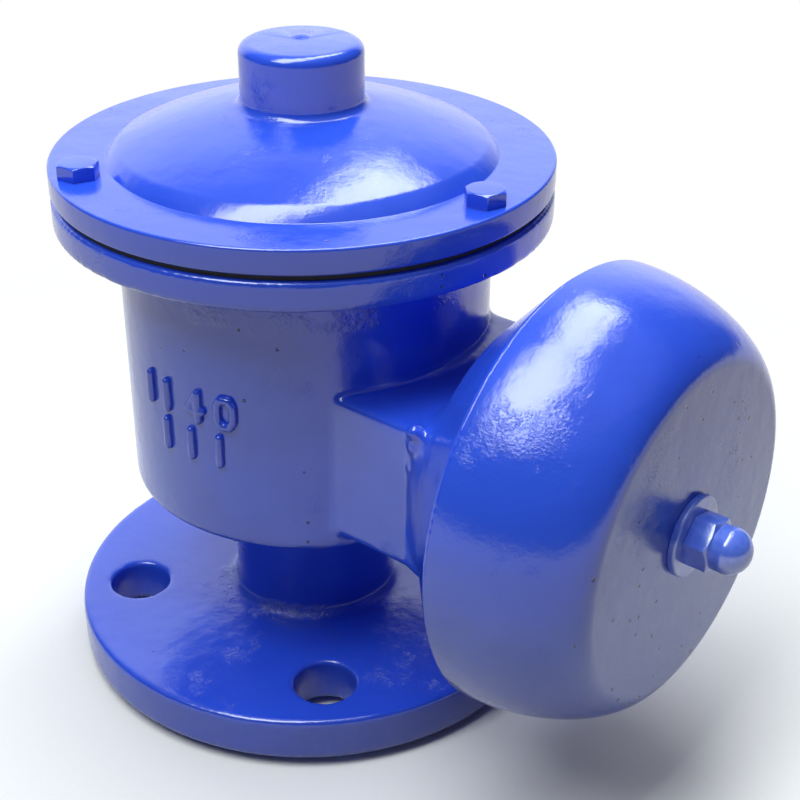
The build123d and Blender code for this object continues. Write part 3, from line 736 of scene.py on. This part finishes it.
def duct_bead(size):
    """The rough ridge of the mould's parting line where the duct meets the bowl."""
    side, half_height = size.duct_width / 2, size.duct_height / 2
    bottom, top = size.duct_axis - half_height, size.duct_axis + half_height
    x = size.duct_end + BEAD_OUT
    bead = [
        rod("bead", SIDE_BEAD, (x, y, bottom + 2 * MM), (x, y, top - MM), 12) for y in (-side, side)
    ]
    bead.append(rod("bead", TOP_BEAD, (x, MM - side, top), (x, side - MM, top), 12))
    for along, drop, radius in DRIPS:
        bead.append(ball("drip", radius, Vector((x + along, -side - DRIP_OUT, top - drop))))
    return bead


def casting_shell(size):
    """The round parts of the casting: flange, neck, chamber and the seat's pedestal."""
    corners = [
        (size.bore_radius, 0.0, FINE_EDGE),
        (size.raised_face_radius, 0.0, FINE_EDGE),
        (size.raised_face_radius, size.raised_face_height, 0.0),
        (size.flange_radius, size.raised_face_height, size.flange_edge),
        (size.flange_radius, size.flange_top, size.flange_edge),
        (size.neck_radius, size.flange_top, size.neck_fillet),
        (size.neck_radius, size.chamber_bottom, size.neck_fillet),
        (size.chamber_radius, size.chamber_bottom, size.chamber_edge),
        (size.chamber_radius, size.top_flange_bottom, size.eaves_fillet),
        (size.top_flange_radius, size.top_flange_bottom, FLANGE_EDGE),
        (size.top_flange_radius, size.joint_height, FLANGE_EDGE),
        (size.chamber_inside, size.joint_height, 0.0),
        (size.chamber_inside, size.chamber_floor, size.floor_fillet),
        (size.pedestal_radius, size.chamber_floor, size.floor_fillet),
        (size.pedestal_radius, size.pedestal_top, 0.0),
        (size.recess_radius, size.pedestal_top, 0.0),
        (size.recess_radius, size.recess_floor, 0.0),
        (size.throat_radius, size.recess_floor, 0.0),
        (size.throat_radius, size.throat_bottom, 0.0),
        (size.bore_radius, size.bore_top, 0.0),
    ]
    return piece("casting_skin", spun(rounded(corners), "Z", ORIGIN))


def duct_outside(size):
    """Duct, bowl and spigot as one solid that starts inside the chamber's wall."""
    root = math.sqrt(size.chamber_inside**2 - (size.duct_width / 2) ** 2) + size.duct_overlap
    groove = size.rim_radius - size.groove_depth
    past_rim = size.rim_plane + size.groove_width
    bowl = [
        (size.bowl_start, size.bowl_start_radius),
        (size.rim_plane, size.rim_radius),
        (size.rim_plane + STEP, groove),
        (past_rim, groove),
        (past_rim + STEP, size.spigot_radius),
        (size.spigot_end, size.spigot_radius),
    ]
    outside = tube("duct", size, 0.0, (root, size.duct_end), bowl)
    low, high = (0, 0, size.chamber_floor), (0, 0, size.joint_height)
    return combined(outside, rod("cavity", size.chamber_inside, low, high, 128), "DIFFERENCE")


def duct_passage(size):
    """The hollow of duct and bowl, with the pocket for the flame element."""
    slope = (size.rim_radius - size.bowl_start_radius) / (size.rim_plane - size.bowl_start)
    inner = size.bowl_start_radius - size.bowl_wall * math.sqrt(1 + slope**2)
    bowl = [
        (size.bowl_start, inner),
        (size.bowl_start + (size.element_mouth - inner) / slope, size.element_mouth),
        (size.element_seat, size.element_mouth),
        (size.element_seat + STEP, size.pocket_radius),
        (size.spigot_end + OVERCUT, size.pocket_radius),
    ]
    return tube("passage", size, size.duct_wall, (size.passage_start, size.duct_end), bowl)


def stud_bridge(casting, size, stud_hole):
    """Adds the bridge and the hub that hold the centre stud, and drills the hub."""
    start, end, level = size.bridge_start, size.element_seat, size.bowl_axis
    low = (start, -size.bridge_reach, level - size.bridge_half_height)
    high = (end, size.bridge_reach, level + size.bridge_half_height)
    combined(casting, block("bridge", low, high), "UNION")
    hub = rod("hub", size.hub_radius, (start, 0, level), (end, 0, level))
    combined(casting, hub, "UNION")
    hole = rod("hole", stud_hole, (start - OVERCUT, 0, level), (end + OVERCUT, 0, level))
    combined(casting, hole, "DIFFERENCE")


def drilled(casting, radius, circle, count, first, low, high, steps):
    """Drills a ring of equal holes along Z through one flange."""
    for index in range(count):
        angle = math.radians(first) + 2 * math.pi * index / count
        x, y = circle * math.cos(angle), circle * math.sin(angle)
        hole = rod("hole", radius, (x, y, low - OVERCUT), (x, y, high + OVERCUT), steps)
        combined(casting, hole, "DIFFERENCE")


MELT_REACH = 0.004


def duct_corners(size):
    """A test for the duct's long edges, and for its top and bottom at the chamber's wall."""

    def melts(spot):
        near_wall = abs(math.hypot(spot.x, spot.y) - size.chamber_radius) < MELT_REACH
        level = abs(abs(spot.z - size.duct_axis) - size.duct_height / 2) < MELT_REACH
        edge = abs(abs(spot.y) - size.duct_width / 2) < MELT_REACH / 2
        across = abs(spot.y) < size.duct_width / 2 + MELT_REACH
        return 0 < spot.x < size.duct_end and level and across and (near_wall or edge)

    return melts


CASTING_TRIANGLES = 190000
MELTING = 14
FIRST_BOLT = 45


class VALVE_OT_casting(bpy.types.Operator):
    """Body casting: flange, neck, chamber, duct and bowl"""

    bl_idname = "valve.casting"
    bl_label = "Casting"

    def execute(self, context):
        size = context.scene.valve_casting
        screws = context.scene.valve_fasteners
        casting = casting_shell(size)
        combined(casting, duct_outside(size), "UNION")
        combined(casting, duct_passage(size), "DIFFERENCE")
        stud_bridge(casting, size, screws.stud_hole)
        inlet = (0, size.flange_top)
        drilled(casting, size.bolt_hole, size.bolt_circle, 4, FIRST_BOLT, *inlet, 96)
        eaves, circle, count = size.top_flange_bottom, screws.screw_circle, screws.screw_count
        drilled(casting, size.screw_hole, circle, count, 0, eaves, size.joint_height, 32)
        for ridge in duct_bead(size):
            combined(casting, ridge, "UNION")
        cast_skin(casting, size.voxel, CASTING_TRIANGLES, duct_corners(size), MELTING)
        foot, neck = size.flange_top, size.neck_radius
        # Crust rings at the neck's foot and under the top flange; the dust colour on them paints
        # shade there
        crusts = (
            (foot - 2 * MM, foot + 4 * MM, neck - 2 * MM, neck + 6 * MM),
            (eaves - 14 * MM, eaves + 2 * MM, 0.0, size.chamber_radius + 2 * MM),
        )
        look = context.scene.valve_paint
        paint = gloss_paint(look, "cast_enamel", dust_and_shade=0.28, crusts=crusts)
        finish_piece(casting, "valve_body", paint, ["body_casting"])
        finish_piece(cast_marks(size), "valve_body", paint)
        return {"FINISHED"}


def dome_arc(centre, sphere, start, end, steps=24):
    """Corners along the round outline of a dome, from one radius to another."""
    radii = [start + (end - start) * step / steps for step in range(steps + 1)]
    return [(radius, centre + math.sqrt(sphere**2 - radius**2), 0.0) for radius in radii]


BEVEL_FILLET = 0.0006
# The low nub on the boss, placed from the middle of the boss's top
NUB_RADIUS = 0.006
NUB_PLACE = Vector((-0.0022, 0.0023, -0.0053))


class VALVE_OT_cover(bpy.types.Operator):
    """Cover: flange, bevel, dome and boss"""

    bl_idname = "valve.cover"
    bl_label = "Cover"

    def execute(self, context):
        size = context.scene.valve_cover
        sphere = (size.bevel_inner**2 + size.dome_rise**2) / (2 * size.dome_rise)
        centre = size.bevel_top + size.dome_rise - sphere
        outer = dome_arc(centre, sphere, size.bevel_inner, size.boss_radius)
        inner = dome_arc(centre, sphere - size.wall, size.boss_radius, size.register_inside)
        outer[-1] = (*outer[-1][:2], size.boss_root)
        bush_foot = inner[0][1] - size.bush_depth
        register_foot = size.flange_bottom - size.register_depth
        outside = [
            (size.register_outside, size.flange_bottom, 0.0),
            (size.flange_radius, size.flange_bottom, FLANGE_EDGE),
            (size.flange_radius, size.flange_top, FLANGE_EDGE),
            (size.bevel_outer, size.flange_top, BEVEL_FILLET),
            (size.bevel_inner, size.bevel_top, 0.0),
            *outer[1:],
            (size.boss_radius, size.boss_top, size.boss_edge),
            (0.0, size.boss_top, 0.0),
        ]
        inside = [
            (0.0, size.boss_roof, 0.0),
            (size.bush_radius, size.boss_roof, 0.0),
            (size.bush_radius, bush_foot, 0.0),
            (size.boss_radius, bush_foot, 0.0),
            *inner,
            (size.register_inside, register_foot, 0.0),
            (size.register_outside, register_foot, 0.0),
        ]
        profile = rounded(outside, closed=False) + rounded(inside, closed=False)
        cover = piece("cover_skin", spun(profile, "Z", ORIGIN), 30)
        nub = ball("nub", NUB_RADIUS, NUB_PLACE + Vector((0, 0, size.boss_top)), 4)
        low, high = size.boss_roof - 10 * MM, size.boss_roof + MM
        below = rod("below", size.boss_radius, (0, 0, low), (0, 0, high))
        combined(nub, below, "DIFFERENCE")
        combined(cover, nub, "UNION")
        smooth(cover, 30)
        paint = gloss_paint(context.scene.valve_paint, "cover_enamel", 0.9)
        finish_piece(cover, "valve_body", paint, ["cover"])
        return {"FINISHED"}


class VALVE_OT_hood(bpy.types.Operator):
    """Hood: bell with a full shoulder, a flat face and the vent mouth below"""

    bl_idname = "valve.hood"
    bl_label = "Hood"

    def execute(self, context):
        size = context.scene.valve_hood
        level = context.scene.valve_casting.bowl_axis
        face = size.start + size.depth
        back = face - size.wall
        outer = shoulder(size.start, face, size.rim_radius, size.face_radius)
        rim, flat = size.rim_radius - size.wall, size.face_radius - size.wall / 2
        inner = shoulder(size.start, back, rim, flat)
        points = outer + [(size.bore, face), (size.bore, back)] + inner[::-1]
        hood = piece("hood_skin", spun(points, "X", Vector((0, 0, level))), 30)
        low = (size.start - OVERCUT, -size.vent_half_width, level - size.rim_radius - OVERCUT)
        high = (size.vent_end, size.vent_half_width, level - size.vent_roof)
        combined(hood, block("mouth", low, high), "DIFFERENCE")
        smooth(hood, 30)
        look = context.scene.valve_paint
        paint = gloss_paint(look, "hood_enamel", pit_share=0.6, pitted_beyond=face - 3 * MM)
        finish_piece(hood, "valve_body", paint, ["hood"])
        return {"FINISHED"}


def shoulder(start, face, rim_radius, face_radius, steps=40, fullness=0.467):
    """Points of the hood's outline: along the axis at the rim, along the radius at the face."""
    depth, drop = face - start, rim_radius - face_radius
    ends = (
        Vector((rim_radius, start)),
        Vector((rim_radius, start + fullness * depth)),
        Vector((face_radius + fullness * drop, face)),
        Vector((face_radius, face)),
    )
    points = []
    for step in range(steps + 1):
        t = step / steps
        weights = ((1 - t) ** 3, 3 * t * (1 - t) ** 2, 3 * t**2 * (1 - t), t**3)
        points.append(tuple(sum((e * w for e, w in zip(ends, weights)), Vector((0, 0)))))
    return points


# A hexagon's flat top, as a share of its flats, its turned slope and the paint on its edges
HEAD_FLAT = 0.47
HEAD_SLOPE = math.radians(28)
HEAD_EDGE = 0.00025


def hex_head(name, flats, height, turned=0.0):
    """A hexagon that stands on the XY plane, with its upper corners turned down."""
    corner = flats / math.sqrt(3)
    place = Matrix.Rotation(turned, 4, "Z") @ Matrix.Translation((0, 0, height / 2))
    head = prism(name, corner, height, 6, place)
    top, reach = flats * HEAD_FLAT, corner * 1.1
    edge = height - (reach - top) * math.tan(HEAD_SLOPE)
    points = [(0.0, -MM), (reach, -MM), (reach, edge), (top, height), (0.0, height)]
    lathe = piece("lathe", spun(points, "Z", ORIGIN, closed=False, steps=96))
    combined(head, lathe, "INTERSECT")
    bevel = head.modifiers.new("paint", "BEVEL")
    bevel.width = HEAD_EDGE
    bevel.segments = 3
    bevel.limit_method = "ANGLE"
    bevel.angle_limit = math.radians(25)
    return baked(head)


SCREW_TURNS = (12.0, 41.0, 7.0)


class VALVE_OT_cover_screws(bpy.types.Operator):
    """Hexagon screws of the cover"""

    bl_idname = "valve.cover_screws"
    bl_label = "Cover screws"

    def execute(self, context):
        size = context.scene.valve_fasteners
        top = context.scene.valve_cover.flange_top
        head = hex_head("screw", size.screw_flats, size.screw_head, math.radians(30))
        shank = rod("shank", size.screw_radius, (0, 0, MM / 2), (0, 0, -size.screw_length), 48)
        combined(head, shank, "UNION")
        bm = bmesh.new()
        for index in range(size.screw_count):
            angle = 2 * math.pi * index / size.screw_count
            turned = math.radians(SCREW_TURNS[index % len(SCREW_TURNS)])
            x, y = size.screw_circle * math.cos(angle), size.screw_circle * math.sin(angle)
            copy = head.data.copy()
            copy.transform(Matrix.Translation((x, y, top)) @ Matrix.Rotation(turned, 4, "Z"))
            bm.from_mesh(copy)
            bpy.data.meshes.remove(copy)
        bpy.data.objects.remove(head)
        paint = gloss_paint(context.scene.valve_paint, "screw_enamel", 0.6, 0.04)
        screws = piece("screw_heads", bm, 40)
        finish_piece(screws, "valve_body", paint, ["cover_screws"])
        return {"FINISHED"}


NUT_TURN = math.radians(-14)
DOME_FOOT = 0.0008
DOME_INSET = 0.0002
DOME_STEPS = 16
WASHER_LOWER_EDGE = 0.0003
WASHER_UPPER_EDGE = 0.0006


def domed_end(size):
    """The domed end of the cap nut, standing on the XY plane."""
    foot, base = size.nut_dome - DOME_INSET, size.nut_height - size.nut_dome
    points = [(0.0, DOME_FOOT), (foot, DOME_FOOT), (foot, base)]
    for step in range(1, DOME_STEPS + 1):
        angle = math.pi / 2 * step / DOME_STEPS
        points.append((size.nut_dome * math.cos(angle), base + size.nut_dome * math.sin(angle)))
    return piece("dome", spun(points, "Z", ORIGIN, closed=False, steps=96))


class VALVE_OT_cap_nut(bpy.types.Operator):
    """Cap nut and washer on the hood"""

    bl_idname = "valve.cap_nut"
    bl_label = "Cap nut"

    def execute(self, context):
        size = context.scene.valve_fasteners
        hood = context.scene.valve_hood
        level = context.scene.valve_casting.bowl_axis
        face = hood.start + hood.depth
        nut = hex_head("cap_nut_skin", size.nut_flats, size.nut_thickness, NUT_TURN)
        combined(nut, domed_end(size), "UNION")
        hole = rod("hole", size.stud_hole, (0, 0, -MM), (0, 0, size.nut_depth), 48)
        combined(nut, hole, "DIFFERENCE")
        spot = Matrix.Translation((face + size.washer_thickness, 0, level))
        nut.data.transform(spot @ Matrix.Rotation(math.radians(90), 4, "Y"))
        smooth(nut, 35)
        look = context.scene.valve_paint
        paint = gloss_paint(look, "nut_enamel", 0.6, 0.04, thin=True, polish=0.18)
        finish_piece(nut, "valve_body", paint, ["cap_nut"])
        ring = rounded(
            [
                (size.stud_hole, face, 0.0),
                (size.washer_radius, face, WASHER_LOWER_EDGE),
                (size.washer_radius, face + size.washer_thickness, WASHER_UPPER_EDGE),
                (size.stud_hole, face + size.washer_thickness, 0.0),
            ]
        )
        washer = piece("washer_skin", spun(ring, "X", Vector((0, 0, level)), steps=128))
        finish_piece(washer, "valve_body", paint, ["hood_washer"])
        return {"FINISHED"}


class VALVE_OT_inner_parts(bpy.types.Operator):
    """Finishes of the inner parts, and a mesh of its own for the spring"""

    bl_idname = "valve.inner_parts"
    bl_label = "Inner parts"

    def execute(self, context):
        finishes = {
            "stainless_steel": turned_metal("stainless", (0.56, 0.56, 0.55), 2400.0, 0.25),
            "turned_aluminium": turned_metal("aluminium", (0.74, 0.75, 0.77), 1800.0, 0.32),
            "bronze": turned_metal("bronze", (0.62, 0.38, 0.18), 1800.0, 0.35),
            "gasket": soft_sheet("gasket_sheet", (0.012, 0.012, 0.016), 1500.0),
            "seal_rubber": soft_sheet("seal_rubber", (0.02, 0.02, 0.02), 2600.0),
        }
        for part in frame["record"]["subparts"]:
            material = finishes.get(part["material_slot"])
            if material is None:
                continue
            node = frame["nodes"][part["node"]]
            node.data.materials.clear()
            node.data.materials.append(material)
        spring = frame["nodes"]["vacuum_spring"]
        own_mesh(spring)
        return {"FINISHED"}


LAMPS_AIM = Vector((0.03, 0.0, 0.09))
# The camera as it was fitted, with its place and its three axes
CAMERA_LENS = 67.87
CAMERA_SENSOR = 36.0
CAMERA_PLACE = Vector((0.268244, -0.289150, 0.298568))
CAMERA_RIGHT = Vector((0.77547293, 0.63135266, 0.00596332))
CAMERA_UP = Vector((-0.31197058, 0.37493922, 0.87298049))
CAMERA_AHEAD = Vector((-0.54892267, 0.67883312, -0.48771867))


class VALVE_OT_stage(bpy.types.Operator):
    """Floor, lights and camera"""

    bl_idname = "valve.stage"
    bl_label = "Stage"

    def execute(self, context):
        scene = context.scene
        look = scene.valve_stage
        bm = bmesh.new()
        bmesh.ops.create_grid(bm, x_segments=1, y_segments=1, size=3.0)
        floor = piece("floor", bm)
        floor.data.materials.append(matt_floor(look))
        scene.world = studio_room(look)
        softbox("front", look)
        softbox("back", look)
        data = bpy.data.cameras.new("camera")
        data.lens = CAMERA_LENS
        data.sensor_width = CAMERA_SENSOR
        data.clip_start = 0.01
        camera = bpy.data.objects.new("camera", data)
        scene.collection.objects.link(camera)
        axes = Matrix((CAMERA_RIGHT, CAMERA_UP, -CAMERA_AHEAD)).transposed().to_4x4()
        camera.matrix_world = Matrix.Translation(CAMERA_PLACE) @ axes
        scene.camera = camera
        scene.view_settings.view_transform = "Standard"
        return {"FINISHED"}


def studio_room(look):
    """A dim room with a pale backdrop and a soft ceiling, which the camera sees as white."""
    world = bpy.data.worlds.new("room")
    room = Nodes(world, "Generated")
    heading = (math.cos(look.backdrop_turn), math.sin(look.backdrop_turn), 0.12)
    level = look.room_level
    for towards, full, share in (
        (Vector(heading).normalized(), 0.90, look.backdrop_level),
        (Vector((0.0, 0.0, 1.0)), 0.95, look.ceiling_level),
    ):
        facing = room.new("VectorMath")
        facing.operation = "DOT_PRODUCT"
        room.feed(facing.inputs[0], room.coordinate)
        room.feed(facing.inputs[1], towards)
        lit = room.ramp(facing.outputs["Value"], 0.55, full, 0.0, share)
        level = room.maths("ADD", lit, level)
    light = room.new("Background", Color=look.surround, Strength=level)
    white = room.new("Background", Color=(1.0, 1.0, 1.0))
    seen = room.new("LightPath").outputs["Is Camera Ray"]
    both = room.mixed(seen, light.outputs["Background"], white.outputs["Background"])
    room.new("OutputWorld", Surface=both)
    return world


def softbox(name, look):
    """A softbox that faces the valve, from a turn round Z and a rise above the floor."""
    heading, rise, power, size = (
        getattr(look, f"{name}_{what}") for what in ("turn", "rise", "power", "size")
    )
    data = bpy.data.lights.new(name, "AREA")
    data.shape = "RECTANGLE"
    data.size, data.size_y = size
    data.energy = power
    data.color = look.box_tint
    lamp = bpy.data.objects.new(name, data)
    bpy.context.scene.collection.objects.link(lamp)
    flat = math.cos(rise)
    away = Vector((flat * math.cos(heading), flat * math.sin(heading), math.sin(rise)))
    facing = (-away).to_track_quat("-Z", "Y").to_matrix().to_4x4()
    lamp.matrix_world = Matrix.Translation(LAMPS_AIM + look.box_distance * away) @ facing
    return lamp


class VALVE_PT_panel(bpy.types.Panel):
    """Buttons that build the valve piece by piece"""

    bl_label = "Breather valve"
    bl_space_type = "VIEW_3D"
    bl_region_type = "UI"
    bl_category = "Valve"

    def draw(self, context):
        for operator in OPERATORS:
            self.layout.operator(operator.bl_idname)


GROUPS = {
    "valve_casting": CastingSizes,
    "valve_cover": CoverSizes,
    "valve_hood": HoodSizes,
    "valve_fasteners": FastenerSizes,
    "valve_paint": PaintLook,
    "valve_stage": StageLook,
}
OPERATORS = (
    VALVE_OT_stage,
    VALVE_OT_casting,
    VALVE_OT_cover,
    VALVE_OT_hood,
    VALVE_OT_cover_screws,
    VALVE_OT_cap_nut,
    VALVE_OT_inner_parts,
)


def register():
    for name, group in GROUPS.items():
        bpy.utils.register_class(group)
        setattr(bpy.types.Scene, name, PointerProperty(type=group))
    for operator in OPERATORS:
        bpy.utils.register_class(operator)
    bpy.utils.register_class(VALVE_PT_panel)


def unregister():
    bpy.utils.unregister_class(VALVE_PT_panel)
    for operator in reversed(OPERATORS):
        bpy.utils.unregister_class(operator)
    for name, group in reversed(GROUPS.items()):
        delattr(bpy.types.Scene, name)
        bpy.utils.unregister_class(group)


def main():
    register()
    for operator in OPERATORS:
        group, name = operator.bl_idname.split(".")
        getattr(getattr(bpy.ops, group), name)()


if __name__ == "__main__":
    main()
